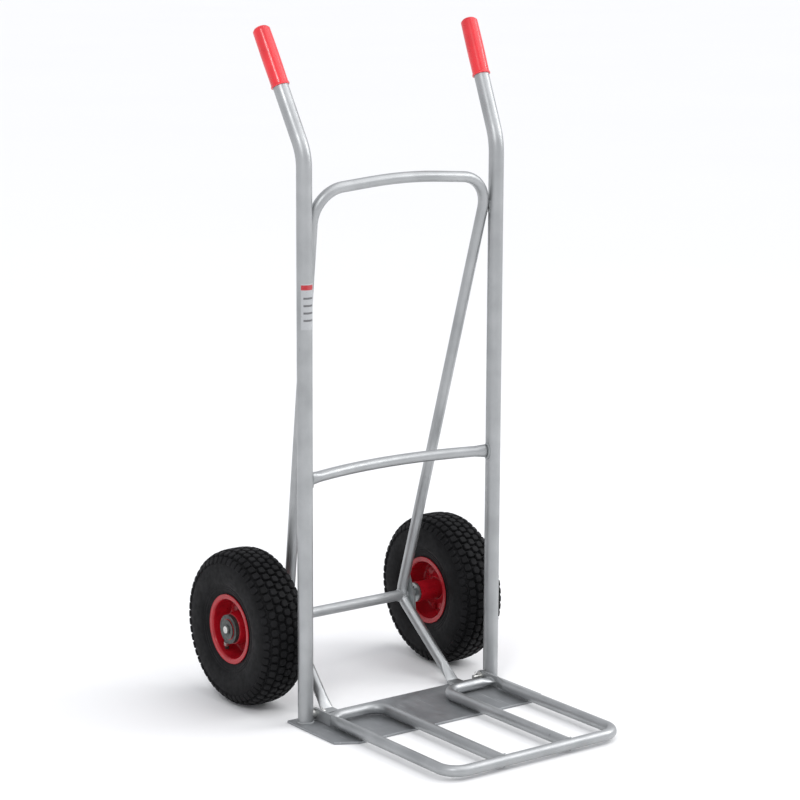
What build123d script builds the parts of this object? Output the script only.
"""Hand truck with a fixed toe plate, a folding tubular toe and two pneumatic wheels.

Frame: X to the right, Y to the rear, Z up, millimetres. The origin is on the floor, half way
between the uprights and in the plane of their axes, on the underside of the toe plate.
"""

from math import cos, radians, sin, sqrt
import os

from build123d import *

# ---------------------------------------------------------------- driving dimensions
# Uprights and handles
upright_od = 25.0
upright_wall = 1.5
upright_spacing = 380.0
handle_bend_height = 920.0
handle_bend_radius = 90.0
handle_rise = 187.5
handle_reach = 95.0
handle_splay = 15.0
grip_length = 96.5
grip_wall = 1.6
grip_dome = 4.0
grip_rounding = 8.0
grip_lip = 1.0
grip_lip_length = 3.0

# Back tube: arch, rear legs, crooks and lower braces in one bent tube
back_od = 18.0
back_wall = 1.5
contact_height = 812.0
contact_setback = 8.0
contact_gap = 0.4
arch_rise = 49.0
arch_crown = 14.0
arch_crown_radius = 800.0
arch_corner_radius = 54.0
crook_radius = 32.0
crook_inset = 72.0
brace_foot_outset = 12.0
brace_foot_inset = 6.0
brace_flat_width = 25.0
brace_flat_thickness = 4.5
brace_flat_length = 19.0
brace_squeeze_length = 34.0
squeeze_step = 0.2

# Mid crossbar
crossbar_od = 18.0
crossbar_wall = 1.5
crossbar_height = 403.0
crossbar_bow = 33.0
crossbar_end_height = 25.0
crossbar_end_thickness = 9.0
crossbar_squeeze_share = 0.085

# Toe plate
plate_thickness = 4.0
plate_overhang = 21.0
plate_front = 130.0
plate_rear = 22.0
plate_chamfer_side = 34.0
plate_chamfer_front = 20.0

# Axle and what is on it
wheel_diameter = 260.0
axle_setback = 153.0
axle_diameter = 12.0
axle_fit = 0.2
axle_end_play = 0.25
sleeve_od = 18.0
sleeve_bore = 13.0
sleeve_cope = 5.0
gusset_thickness = 3.0
gusset_up = 40.0
gusset_down = 36.0
gusset_front = 24.0
boss_od = 14.0
boss_length = 14.0
boss_gap = 0.5
flange_od = 33.0
flange_thickness = 3.0
flange_hole = 4.0
flange_hole_offset = 9.5
washer_od = 33.0
washer_thickness = 1.5
ring_od = 17.0
ring_thickness = 1.2
ring_groove_depth = 0.6
axle_overhang = 2.0

# Wheel: 3.00-4 tyre on a two-piece pressed rim
wheel_outset = 11.5
hub_od = 35.0
hub_wall = 1.5
hub_outer_reach = 37.5
hub_flange_od = 88.0
hub_flange_thickness = 3.0
rim_sheet = 2.0
rim_seat_radius = 50.8
rim_lip_radius = 58.0
rim_width = 71.2
rim_web_radius = 46.5
rim_web_inner = 29.5
rim_hole_radius = 24.0
rim_cone_reach = 30.0
rim_inner_reach = 12.0
rim_hub_gap = 0.1
dust_cover_od = 48.0
dust_cover_start = 30.5
dust_cover_thickness = 6.5
rim_seat_start = 20.0
rim_bend = 3.0
rim_lip_bend = 1.6
tyre_width = 86.0
tyre_wall = 5.0
tyre_tread = 9.0
tyre_widest_radius = 92.0
tyre_shoulder_radius = 120.0
tyre_shoulder_inset = 4.0
tyre_wall_swell = 0.69
tyre_shoulder_swell = 0.75
bead_bevel = 3.0
tube_gap = 0.5
tube_wall = 1.6
rim_bolt_count = 5
rim_bolt_diameter = 6.0
rim_bolt_circle = 76.0
rim_bolt_head = 10.0
rim_bolt_head_height = 4.0
rim_nut_height = 5.0
rim_bolt_tip = 1.0
bolt_hole_clearance = 0.2
valve_diameter = 7.0
valve_length = 18.0
valve_root = 3.5
valve_cap_diameter = 9.5
valve_cap_length = 9.0
valve_cap_overlap = 6.0
valve_tilt = 20.0
valve_offset = 22.0
valve_hole_clearance = 0.2
valve_angle_left = 303.0
valve_angle_right = 60.0

# Ball bearings in the hub ends
bearing_width = 10.0
bearing_ball = 6.0
bearing_balls = 7
bearing_race_gap = 2.2
bearing_running = 0.05
seal_thickness = 0.8
seal_recess = 0.4
seal_clearance = 0.2

# Folding toe
toe_od = 18.0
toe_wall = 1.5
toe_arm_inset = 22.0
toe_reach = 356.0
toe_height = 14.5
toe_corner_radius = 32.0
toe_tab_radius = 9.5
toe_tab_thickness = 4.5
toe_tab_offset = 2.5
toe_tab_length = 44.0
toe_squeeze_length = 26.0
inner_bar_spacing = 132.0
inner_bar_setback = 31.0
inner_bar_radius = 30.0
inner_bar_tip_thickness = 5.0
inner_bar_tip_width = 22.0
inner_bar_squeeze_length = 24.0
pivot_diameter = 8.0
pivot_clearance = 0.05
pivot_collar_od = 14.0
pivot_collar_gap = 0.3
pivot_overhang = 13.0
pivot_washer_od = 16.0
pivot_washer_thickness = 1.6
split_pin_diameter = 2.0
split_pin_length = 18.0
split_pin_from_end = 5.0

# Label on the left upright
label_bottom = 647.0
label_height = 73.0
label_thickness = 0.3
label_arc = 120.0
label_facing = 270.0

# ---------------------------------------------------------------- places worked out from them
plate_top = plate_thickness
axle_height = wheel_diameter / 2
upright_x = upright_spacing / 2
crook_x = upright_x - crook_inset
brace_foot_x = crook_x + brace_foot_outset
plate_half_width = upright_x + plate_overhang
wheel_x = upright_x + wheel_outset
arm_x = upright_x - toe_arm_inset
back_radius = back_od / 2
rod_bore_radius = axle_diameter / 2 + axle_fit
axle_line = Axis((0, axle_setback, axle_height), (1, 0, 0))
SIDES = (("left", -1), ("right", 1))


def save(builder, name):
    """Label a finished piece and write it as its own STEP file."""
    builder.part.label = name
    export_step(builder.part, f"parts/{name}.step")


def radial_plane(side, distance):
    """Plane through the axle line: local x points outwards from the truck, local y points up."""
    centre = (side * distance, axle_setback, axle_height)
    return Plane(centre, x_dir=(side, 0, 0), z_dir=(0, -side, 0))


def ring_section(inner, outer, start, end):
    """Rectangle that becomes a ring when it is turned about the axle line."""
    with Locations(((start + end) / 2, (inner + outer) / 2)):
        Rectangle(end - start, outer - inner)


def axle_plane(side, distance):
    """Plane square to the axle at a distance from the truck's middle: local z points outwards."""
    centre = (side * distance, axle_setback, axle_height)
    return Plane(centre, x_dir=(0, 0, 1), z_dir=(side, 0, 0))


def wheel_plane(side, offset):
    """Plane across a wheel, square to its axle, offset outwards from the wheel's middle."""
    centre = (side * (wheel_x + offset), axle_setback, axle_height)
    return Plane(centre, x_dir=(0, side, 0), z_dir=(side, 0, 0))


def tube_end_plane(point, along):
    """Plane across a tube that runs front to back, with local x across the truck."""
    return Plane(point, x_dir=(1, 0, 0), z_dir=(0, along, 0))


os.makedirs("parts", exist_ok=True)

# ---------------------------------------------------------------- uprights and grips
for name, side in SIDES:
    foot = Vector(side * upright_x, 0, plate_top)
    bend = Vector(side * upright_x, 0, handle_bend_height)
    tip = bend + Vector(side * handle_splay, handle_reach, handle_rise)
    slope = (tip - bend).normalized()

    with BuildPart() as upright:
        with BuildLine() as upright_run:
            FilletPolyline(foot, bend, tip, radius=handle_bend_radius)
        with BuildSketch(Plane(foot, z_dir=(0, 0, 1))):
            Circle(upright_od / 2)
            Circle(upright_od / 2 - upright_wall, mode=Mode.SUBTRACT)
        sweep(path=upright_run.line)
    save(upright, f"{name}_upright")

    # The grip is a sleeve turned about the handle: local x is its radius, local y runs up it.
    outwards = slope.cross(Vector(0, 1, 0)).normalized()
    with BuildPart() as grip:
        with BuildSketch(Plane(tip, x_dir=outwards, z_dir=outwards.cross(slope))):
            sleeve_radius = upright_od / 2 + grip_wall
            shoulder_radius = sleeve_radius - grip_rounding
            shoulder_start = grip_dome - grip_rounding
            with BuildLine():
                Polyline(
                    (shoulder_radius, grip_dome),
                    (0, grip_dome),
                    (0, 0),
                    (upright_od / 2, 0),
                    (upright_od / 2, -grip_length),
                    (sleeve_radius + grip_lip, -grip_length),
                    (sleeve_radius + grip_lip, -grip_length + grip_lip_length),
                    (sleeve_radius, -grip_length + grip_lip_length + grip_lip),
                    (sleeve_radius, shoulder_start),
                )
                CenterArc((shoulder_radius, shoulder_start), grip_rounding, 0, 90)
            make_face()
        revolve(axis=Axis(tip, slope))
    save(grip, f"{name}_grip")

# ---------------------------------------------------------------- back tube
# One tube from the plate up to the axle, along the rear legs and over the arch.
axle_point = Vector(crook_x, axle_setback, axle_height)
contact_reach = upright_od / 2 + back_radius + contact_gap
contact_x = upright_x - sqrt(contact_reach**2 - contact_setback**2)
contact = Vector(contact_x, contact_setback, contact_height)
brace_foot = Vector(brace_foot_x, plate_rear - brace_foot_inset, plate_top + brace_flat_thickness / 2)
brace_start = brace_foot + Vector(0, brace_flat_length / 2, 0)
to_contact = (contact - axle_point).normalized()
to_foot = (brace_start - axle_point).normalized()
half_angle = radians(to_contact.get_angle(to_foot)) / 2
crook_offset = crook_radius * (1 / sin(half_angle) - 1)
crook = axle_point - (to_contact + to_foot).normalized() * crook_offset
leg = (contact - crook).normalized()
shoulder = contact + leg * (arch_rise / leg.Z)
arch_top = Vector(0, shoulder.Y + leg.Y / leg.Z * arch_crown, shoulder.Z + arch_crown)
brace = (brace_start - crook).normalized()
squeeze_start = brace_start - brace * brace_squeeze_length


def mirrored(point):
    """The same point on the other side of the truck."""
    return Vector(-point.X, point.Y, point.Z)


with BuildLine() as back_run:
    FilletPolyline(
        squeeze_start,
        crook,
        shoulder,
        arch_top,
        mirrored(shoulder),
        mirrored(crook),
        mirrored(squeeze_start),
        radius=(crook_radius, arch_corner_radius, arch_crown_radius, arch_corner_radius, crook_radius),
    )

with BuildPart() as back_envelope:
    with BuildSketch(Plane(squeeze_start, z_dir=-brace)):
        Circle(back_radius)
    sweep(path=back_run.line)

with BuildPart() as back_tube:
    with BuildSketch(Plane(squeeze_start, z_dir=-brace)):
        Circle(back_radius)
        Circle(back_radius - back_wall, mode=Mode.SUBTRACT)
    sweep(path=back_run.line)
    for side in (1, -1):
        start = Vector(side * squeeze_start.X, squeeze_start.Y, squeeze_start.Z)
        end = Vector(side * brace_start.X, brace_start.Y, brace_start.Z)
        direction = Vector(side * brace.X, brace.Y, brace.Z)
        across = Vector(1, 0, 0) - direction * direction.X
        with BuildSketch(Plane(start, x_dir=across, z_dir=direction)):
            Circle(back_radius)
        with BuildSketch(tube_end_plane(end, -1)):
            Ellipse(brace_flat_width / 2 - squeeze_step, brace_flat_thickness / 2 - squeeze_step)
        loft()
        with BuildSketch(tube_end_plane(end, -1)):
            SlotOverall(brace_flat_width, brace_flat_thickness)
        extrude(amount=brace_flat_length)
    with Locations(Plane((0, axle_setback, axle_height), x_dir=(0, 1, 0), z_dir=(1, 0, 0))):
        Cylinder(rod_bore_radius, 2 * (crook_x + back_od), mode=Mode.SUBTRACT)
save(back_tube, "back_tube")

# ---------------------------------------------------------------- mid crossbar
crossbar_end = Vector(upright_x, 0, crossbar_height)
crossbar_middle = Vector(0, crossbar_bow, crossbar_height)
with BuildLine() as crossbar_run:
    ThreePointArc(mirrored(crossbar_end), crossbar_middle, crossbar_end)
crossbar_arc = crossbar_run.line.edges()[0]
squeeze = crossbar_squeeze_share


def across_crossbar(place):
    """Plane across the crossbar at a share of its length, with local x upwards."""
    return Plane(crossbar_arc @ place, x_dir=(0, 0, 1), z_dir=crossbar_arc % place)


with BuildPart() as mid_crossbar:
    with BuildSketch(across_crossbar(squeeze)):
        Circle(crossbar_od / 2)
        Circle(crossbar_od / 2 - crossbar_wall, mode=Mode.SUBTRACT)
    sweep(path=crossbar_arc.trim(squeeze, 1 - squeeze))
    for place, tip_place in ((squeeze, 0), (1 - squeeze, 1)):
        for inset, how in ((0, Mode.ADD), (crossbar_wall, Mode.SUBTRACT)):
            with BuildSketch(across_crossbar(place)):
                Circle(crossbar_od / 2 - inset)
            with BuildSketch(across_crossbar(tip_place)):
                Ellipse(crossbar_end_height / 2 - inset, crossbar_end_thickness / 2 - inset)
            loft(mode=how)
    with Locations((-upright_x, 0, crossbar_height), (upright_x, 0, crossbar_height)):
        Cylinder(upright_od / 2, 2 * crossbar_end_height, mode=Mode.SUBTRACT)
save(mid_crossbar, "mid_crossbar")

# ---------------------------------------------------------------- toe plate
with BuildPart() as toe_plate:
    with BuildSketch():
        with BuildLine():
            Polyline(
                (-plate_half_width, plate_rear),
                (plate_half_width, plate_rear),
                (plate_half_width, -plate_front + plate_chamfer_front),
                (plate_half_width - plate_chamfer_side, -plate_front),
                (-plate_half_width + plate_chamfer_side, -plate_front),
                (-plate_half_width, -plate_front + plate_chamfer_front),
                (-plate_half_width, plate_rear),
            )
        make_face()
    extrude(amount=plate_thickness)
save(toe_plate, "toe_plate")

# ---------------------------------------------------------------- axle and its fittings
with BuildPart() as axle_sleeve:
    sleeve_half = crook_x - sleeve_cope
    with BuildSketch(Plane((-sleeve_half, axle_setback, axle_height), z_dir=(1, 0, 0))):
        Circle(sleeve_od / 2)
        Circle(sleeve_bore / 2, mode=Mode.SUBTRACT)
    extrude(amount=2 * sleeve_half)
    add(back_envelope.part, mode=Mode.SUBTRACT)
save(axle_sleeve, "axle_sleeve")

crook_side = crook_x + back_radius + boss_gap
flange_face = crook_side + boss_length + flange_thickness
hub_start = flange_face + washer_thickness + axle_end_play
hub_end = wheel_x + hub_outer_reach
outer_washer = hub_end + axle_end_play
ring_start = outer_washer + washer_thickness
axle_end = ring_start + ring_thickness + axle_overhang
axle_radius = axle_diameter / 2
groove_radius = axle_radius - ring_groove_depth

with BuildPart() as axle_rod:
    with BuildSketch(Plane((-axle_end, axle_setback, axle_height), z_dir=(1, 0, 0))):
        Circle(axle_radius)
    extrude(amount=2 * axle_end)
    for name, side in SIDES:
        with BuildSketch(axle_plane(side, ring_start)):
            Circle(axle_radius)
            Circle(groove_radius, mode=Mode.SUBTRACT)
        extrude(amount=ring_thickness, mode=Mode.SUBTRACT)
save(axle_rod, "axle_rod")

for name, side in SIDES:
    with BuildPart() as gusset:
        corner_up = (to_contact.Y * gusset_up, to_contact.Z * gusset_up)
        corner_down = (to_foot.Y * gusset_down, to_foot.Z * gusset_down)
        gusset_x = side * (crook_side - gusset_thickness)
        with BuildSketch(Plane((gusset_x, axle_setback, axle_height), x_dir=(0, 1, 0), z_dir=(1, 0, 0))):
            with BuildLine():
                Polyline((0, 0), corner_up, (-gusset_front, 0), corner_down, (0, 0))
            make_face()
            Circle(rod_bore_radius, mode=Mode.SUBTRACT)
        extrude(amount=side * gusset_thickness)
        add(back_envelope.part, mode=Mode.SUBTRACT)
    save(gusset, f"{name}_axle_gusset")

    with BuildPart() as boss:
        with BuildSketch(radial_plane(side, 0)):
            ring_section(rod_bore_radius, boss_od / 2, crook_side, crook_side + boss_length)
            ring_section(rod_bore_radius, flange_od / 2, crook_side + boss_length, flange_face)
        revolve(axis=axle_line)
        with BuildSketch(axle_plane(side, flange_face)):
            with Locations((flange_hole_offset, 0), (-flange_hole_offset, 0)):
                Circle(flange_hole / 2)
        extrude(amount=-flange_thickness, mode=Mode.SUBTRACT)
    save(boss, f"{name}_axle_boss")

with BuildPart() as axle_washers:
    for name, side in SIDES:
        with BuildSketch(radial_plane(side, 0)):
            ring_section(axle_radius, washer_od / 2, flange_face, flange_face + washer_thickness)
            ring_section(axle_radius, washer_od / 2, outer_washer, outer_washer + washer_thickness)
        revolve(axis=axle_line)
save(axle_washers, "axle_washers")

with BuildPart() as retaining_rings:
    for name, side in SIDES:
        with BuildSketch(axle_plane(side, ring_start)):
            Circle(ring_od / 2)
            Circle(groove_radius, mode=Mode.SUBTRACT)
            with Locations((-ring_od / 2, 0)):
                Rectangle(ring_od, axle_radius, mode=Mode.SUBTRACT)
        extrude(amount=ring_thickness)
save(retaining_rings, "retaining_rings")

# ---------------------------------------------------------------- wheels
hub_near = hub_start - wheel_x
hub_far = hub_end - wheel_x
web_centre = (hub_flange_thickness + rim_sheet) / 2
web_face = hub_flange_thickness / 2 + rim_sheet
bearing_outer = hub_od / 2 - hub_wall
race_bore = axle_radius + bearing_running
pitch_radius = (bearing_outer + race_bore) / 2
inner_race_outer = pitch_radius - bearing_race_gap
outer_race_inner = pitch_radius + bearing_race_gap
groove = bearing_ball / 2 + bearing_running
seat_centre = rim_seat_radius - rim_sheet / 2
lip_centre = (rim_width - rim_sheet) / 2
bolt_radius = rim_bolt_diameter / 2
stem_way = Vector(sin(radians(valve_tilt)), -cos(radians(valve_tilt)), 0)


def both_ends():
    """Middles of a hub's two bearings, measured outwards from the wheel's middle."""
    return (hub_near + bearing_width / 2, hub_far - bearing_width / 2)


def tyre_outline(inset_wall, inset_tread):
    """Closed outline of the tyre's section: beads on the rim, sidewalls, shoulders and crown."""
    flange = rim_width / 2 - rim_sheet - inset_wall
    widest = tyre_width / 2 - inset_wall
    shoulder = widest - tyre_shoulder_inset
    crown = wheel_diameter / 2 - inset_tread
    shoulder_radius = tyre_shoulder_radius - inset_tread
    lip = rim_lip_radius + rim_sheet / 2
    bead_top = rim_seat_radius + bead_bevel
    low = (lip + tyre_widest_radius) / 2
    low_out = flange + (widest - flange) * tyre_wall_swell
    high = (tyre_widest_radius + shoulder_radius) / 2
    high_out = shoulder + (widest - shoulder) * tyre_shoulder_swell
    for side in (1, -1):
        bead_toe = (side * (flange - bead_bevel), rim_seat_radius)
        bead_heel = (side * flange, lip)
        wall_out = (side * widest, tyre_widest_radius)
        Polyline(bead_toe, (side * flange, bead_top), bead_heel)
        ThreePointArc(bead_heel, (side * low_out, low), wall_out)
        ThreePointArc(wall_out, (side * high_out, high), (side * shoulder, shoulder_radius))
    ThreePointArc((shoulder, shoulder_radius), (0, crown), (-shoulder, shoulder_radius))
    Line((flange - bead_bevel, rim_seat_radius), (bead_bevel - flange, rim_seat_radius))


for name, side in SIDES:
    wheel = radial_plane(side, wheel_x)
    valve_turn = radians(valve_angle_left if side < 0 else valve_angle_right)

    with BuildPart() as tyre:
        with BuildSketch(wheel):
            with BuildLine():
                tyre_outline(0, 0)
            make_face()
            with BuildLine():
                tyre_outline(tyre_wall, tyre_tread)
            make_face(mode=Mode.SUBTRACT)
        revolve(axis=axle_line)
    save(tyre, f"{name}_tyre")

    # The valve's stem is part of the tube: it leans outwards from the rim's seat into the dish.
    with BuildPart() as inner_tube:
        for inset, how in ((tube_gap, Mode.ADD), (tube_gap + tube_wall, Mode.SUBTRACT)):
            with BuildSketch(wheel):
                with BuildLine():
                    tyre_outline(tyre_wall, tyre_tread)
                make_face()
                offset(amount=-inset)
            revolve(axis=axle_line, mode=how)
    stem_seat = Vector(valve_offset, seat_centre)

    def around(point):
        """A point of the wheel's section, turned about the axle to the valve's angle."""
        turned = Vector(point.X, point.Y * sin(valve_turn), point.Y * cos(valve_turn))
        return wheel.from_local_coords(turned)

    stem_root = around(stem_seat - stem_way * valve_root)
    stem_end = around(stem_seat + stem_way * valve_length)
    stem_plane = Plane(stem_root, z_dir=stem_end - stem_root)
    with BuildPart() as tube_with_valve:
        add(inner_tube.part)
        with BuildSketch(stem_plane):
            Circle(valve_diameter / 2)
        extrude(amount=valve_root + valve_length)
    save(tube_with_valve, f"{name}_inner_tube")

    cap_plane = stem_plane.offset(valve_root + valve_length - valve_cap_overlap)
    with BuildPart() as valve_cap:
        with BuildSketch(cap_plane):
            Circle(valve_cap_diameter / 2)
        extrude(amount=valve_cap_length)
        with BuildSketch(cap_plane):
            Circle(valve_diameter / 2)
        extrude(amount=valve_cap_overlap, mode=Mode.SUBTRACT)
    save(valve_cap, f"{name}_valve_cap")

    cone_ends = (
        ("outer", 1, (rim_cone_reach, rim_hole_radius)),
        ("inner", -1, (-rim_inner_reach, hub_od / 2 + rim_hub_gap + rim_sheet / 2)),
    )
    for half_name, way, cone_end in cone_ends:
        with BuildPart() as rim_half:
            with BuildSketch(wheel):
                with BuildLine():
                    FilletPolyline(
                        cone_end,
                        (way * web_centre, rim_web_inner),
                        (way * web_centre, rim_web_radius),
                        (way * rim_seat_start, seat_centre),
                        (way * (lip_centre - rim_sheet), seat_centre),
                        (way * lip_centre, seat_centre + rim_sheet),
                        (way * lip_centre, rim_lip_radius),
                        radius=(rim_bend, rim_bend, rim_bend, rim_lip_bend, rim_lip_bend),
                    )
                trace(line_width=rim_sheet)
            revolve(axis=axle_line)
            hole_reach = web_face + rim_sheet
            with BuildSketch(wheel_plane(side, hole_reach)):
                with PolarLocations(rim_bolt_circle / 2, rim_bolt_count):
                    Circle(bolt_radius + bolt_hole_clearance)
            extrude(amount=-2 * hole_reach, mode=Mode.SUBTRACT)
            if way > 0:
                with BuildSketch(stem_plane):
                    Circle(valve_diameter / 2 + valve_hole_clearance)
                extrude(amount=valve_root + valve_length, mode=Mode.SUBTRACT)
        save(rim_half, f"{name}_rim_{half_name}_half")

    with BuildPart() as rim_bolts:
        with BuildSketch(wheel_plane(side, web_face)):
            with PolarLocations(rim_bolt_circle / 2, rim_bolt_count):
                RegularPolygon(rim_bolt_head / 2, 6, major_radius=False)
        extrude(amount=rim_bolt_head_height)
        with BuildSketch(wheel_plane(side, web_face)):
            with PolarLocations(rim_bolt_circle / 2, rim_bolt_count):
                Circle(bolt_radius)
        extrude(amount=-2 * web_face - rim_nut_height - rim_bolt_tip)
    save(rim_bolts, f"{name}_rim_bolts")

    with BuildPart() as rim_nuts:
        with BuildSketch(wheel_plane(side, -web_face)):
            with PolarLocations(rim_bolt_circle / 2, rim_bolt_count):
                RegularPolygon(rim_bolt_head / 2, 6, major_radius=False)
                Circle(bolt_radius, mode=Mode.SUBTRACT)
        extrude(amount=-rim_nut_height)
    save(rim_nuts, f"{name}_rim_nuts")

    with BuildPart() as hub_tube:
        with BuildSketch(wheel):
            flange_half = hub_flange_thickness / 2
            ring_section(bearing_outer, hub_od / 2, hub_near, hub_far)
            ring_section(hub_od / 2, hub_flange_od / 2, -flange_half, flange_half)
        revolve(axis=axle_line)
        with BuildSketch(wheel_plane(side, flange_half)):
            with PolarLocations(rim_bolt_circle / 2, rim_bolt_count):
                Circle(bolt_radius + bolt_hole_clearance)
        extrude(amount=-hub_flange_thickness, mode=Mode.SUBTRACT)
    save(hub_tube, f"{name}_hub_tube")

    with BuildPart() as dust_cover:
        with BuildSketch(wheel):
            cover_end = dust_cover_start + dust_cover_thickness
            ring_section(hub_od / 2, dust_cover_od / 2, dust_cover_start, cover_end)
        revolve(axis=axle_line)
    save(dust_cover, f"{name}_dust_cover")

    with BuildPart() as outer_races:
        for centre in both_ends():
            near, far = centre - bearing_width / 2, centre + bearing_width / 2
            with BuildSketch(wheel):
                ring_section(outer_race_inner, bearing_outer, near, far)
                with Locations((centre, pitch_radius)):
                    Circle(groove, mode=Mode.SUBTRACT)
            revolve(axis=axle_line)
    save(outer_races, f"{name}_bearing_outer_races")

    with BuildPart() as inner_races:
        for centre in both_ends():
            near, far = centre - bearing_width / 2, centre + bearing_width / 2
            with BuildSketch(wheel):
                ring_section(race_bore, inner_race_outer, near, far)
                with Locations((centre, pitch_radius)):
                    Circle(groove, mode=Mode.SUBTRACT)
            revolve(axis=axle_line)
    save(inner_races, f"{name}_bearing_inner_races")

    with BuildPart() as balls:
        for centre in both_ends():
            with Locations(wheel_plane(side, centre)):
                with PolarLocations(pitch_radius, bearing_balls):
                    Sphere(bearing_ball / 2)
    save(balls, f"{name}_bearing_balls")

    with BuildPart() as seals:
        inner_seal = hub_near + seal_recess
        outer_seal = hub_far - seal_recess - seal_thickness
        for face in (inner_seal, outer_seal):
            with BuildSketch(wheel):
                seal_bore = inner_race_outer + seal_clearance
                ring_section(seal_bore, outer_race_inner, face, face + seal_thickness)
            revolve(axis=axle_line)
    save(seals, f"{name}_bearing_seals")

    with BuildPart() as race_spacer:
        with BuildSketch(wheel):
            ring_section(race_bore, inner_race_outer, hub_near + bearing_width, hub_far - bearing_width)
        revolve(axis=axle_line)
    save(race_spacer, f"{name}_race_spacer")

# ---------------------------------------------------------------- folding toe
tab_x = arm_x + toe_tab_offset
tab_inner = tab_x - toe_tab_thickness / 2
tab_outer = tab_x + toe_tab_thickness / 2
arm_start = toe_tab_length + toe_squeeze_length
pivot_radius = pivot_diameter / 2
toe_radius = toe_od / 2

with BuildLine() as toe_run:
    FilletPolyline(
        (arm_x, -arm_start, toe_height),
        (arm_x, -toe_reach, toe_height),
        (-arm_x, -toe_reach, toe_height),
        (-arm_x, -arm_start, toe_height),
        radius=toe_corner_radius,
    )

with BuildPart() as toe_envelope:
    with BuildSketch(Plane((arm_x, -arm_start, toe_height), z_dir=(0, -1, 0))):
        Circle(toe_radius)
    sweep(path=toe_run.line)

with BuildPart() as toe_outer_tube:
    with BuildSketch(Plane((arm_x, -arm_start, toe_height), z_dir=(0, -1, 0))):
        Circle(toe_radius)
        Circle(toe_radius - toe_wall, mode=Mode.SUBTRACT)
    sweep(path=toe_run.line)
    for side in (1, -1):
        with BuildSketch(tube_end_plane((side * arm_x, -arm_start, toe_height), 1)):
            Circle(toe_radius)
        with BuildSketch(tube_end_plane((side * tab_x, -toe_tab_length, toe_height), 1)):
            Ellipse(toe_tab_thickness / 2, toe_tab_radius)
        loft()
        tab_side = side * tab_inner
        with BuildSketch(Plane((tab_side, 0, toe_height), x_dir=(0, -1, 0), z_dir=(side, 0, 0))):
            Circle(toe_tab_radius)
            with Locations((toe_tab_length / 2, 0)):
                Rectangle(toe_tab_length, 2 * toe_tab_radius)
            Circle(pivot_radius + pivot_clearance, mode=Mode.SUBTRACT)
        extrude(amount=toe_tab_thickness)
save(toe_outer_tube, "toe_outer_tube")

bar_x = inner_bar_spacing / 2
bar_start = tab_inner - inner_bar_squeeze_length
for name, side in SIDES:
    begin = Vector(side * bar_start, -inner_bar_setback, toe_height)
    with BuildLine() as bar_run:
        FilletPolyline(
            begin,
            (side * bar_x, -inner_bar_setback, toe_height),
            (side * bar_x, -toe_reach, toe_height),
            radius=inner_bar_radius,
        )
    with BuildPart() as inner_bar:
        with BuildSketch(Plane(begin, x_dir=(0, 1, 0), z_dir=(-side, 0, 0))):
            Circle(toe_radius)
            Circle(toe_radius - toe_wall, mode=Mode.SUBTRACT)
        sweep(path=bar_run.line)
        add(toe_envelope.part, mode=Mode.SUBTRACT)
        with BuildSketch(Plane(begin, x_dir=(0, 1, 0), z_dir=(side, 0, 0))):
            Circle(toe_radius)
        bar_tip = (side * tab_inner, -inner_bar_setback, toe_height)
        with BuildSketch(Plane(bar_tip, x_dir=(0, 1, 0), z_dir=(side, 0, 0))):
            Ellipse(inner_bar_tip_width / 2, inner_bar_tip_thickness / 2)
        loft()
    save(inner_bar, f"toe_{name}_inner_bar")

# ---------------------------------------------------------------- pivots of the folding toe
collar_start = tab_outer + pivot_collar_gap
washer_face = tab_inner - pivot_collar_gap
pin_end = washer_face - pivot_washer_thickness - pivot_overhang
pivot_line = Axis((0, 0, toe_height), (1, 0, 0))


def pivot_section(side):
    """Plane through the pivot line: local x points outwards from the truck, local y points up."""
    return Plane((0, 0, toe_height), x_dir=(side, 0, 0), z_dir=(0, -side, 0))


for name, side in SIDES:
    with BuildPart() as pivot_pin:
        with BuildSketch(pivot_section(side)):
            ring_section(0, pivot_radius, pin_end, collar_start)
            ring_section(0, pivot_collar_od / 2, collar_start, upright_x)
        revolve(axis=pivot_line)
        with BuildSketch(Plane((side * upright_x, 0, 0), z_dir=(0, 0, 1))):
            Circle(upright_od / 2)
        extrude(amount=2 * toe_height + pivot_collar_od, mode=Mode.SUBTRACT)
        with BuildSketch(Plane((side * (pin_end + split_pin_from_end), 0, toe_height), z_dir=(0, 0, 1))):
            Circle(split_pin_diameter / 2)
        extrude(amount=pivot_diameter, both=True, mode=Mode.SUBTRACT)
    save(pivot_pin, f"{name}_pivot_pin")

with BuildPart() as pivot_washers:
    for name, side in SIDES:
        with BuildSketch(pivot_section(side)):
            ring_section(pivot_radius, pivot_washer_od / 2, washer_face - pivot_washer_thickness, washer_face)
        revolve(axis=pivot_line)
save(pivot_washers, "pivot_washers")

with BuildPart() as split_pins:
    for name, side in SIDES:
        with BuildSketch(Plane((side * (pin_end + split_pin_from_end), 0, toe_height), z_dir=(0, 0, 1))):
            Circle(split_pin_diameter / 2)
        extrude(amount=split_pin_length / 2, both=True)
save(split_pins, "split_pins")

# ---------------------------------------------------------------- label
with BuildPart() as label:
    with BuildSketch(Plane((-upright_x, 0, label_bottom), z_dir=(0, 0, 1))):
        with BuildLine():
            first = label_facing - label_arc / 2
            inner_arc = CenterArc((0, 0), upright_od / 2, first, label_arc)
            outer_arc = CenterArc((0, 0), upright_od / 2 + label_thickness, first, label_arc)
            Line(inner_arc @ 0, outer_arc @ 0)
            Line(inner_arc @ 1, outer_arc @ 1)
        make_face()
    extrude(amount=label_height)
save(label, "label")
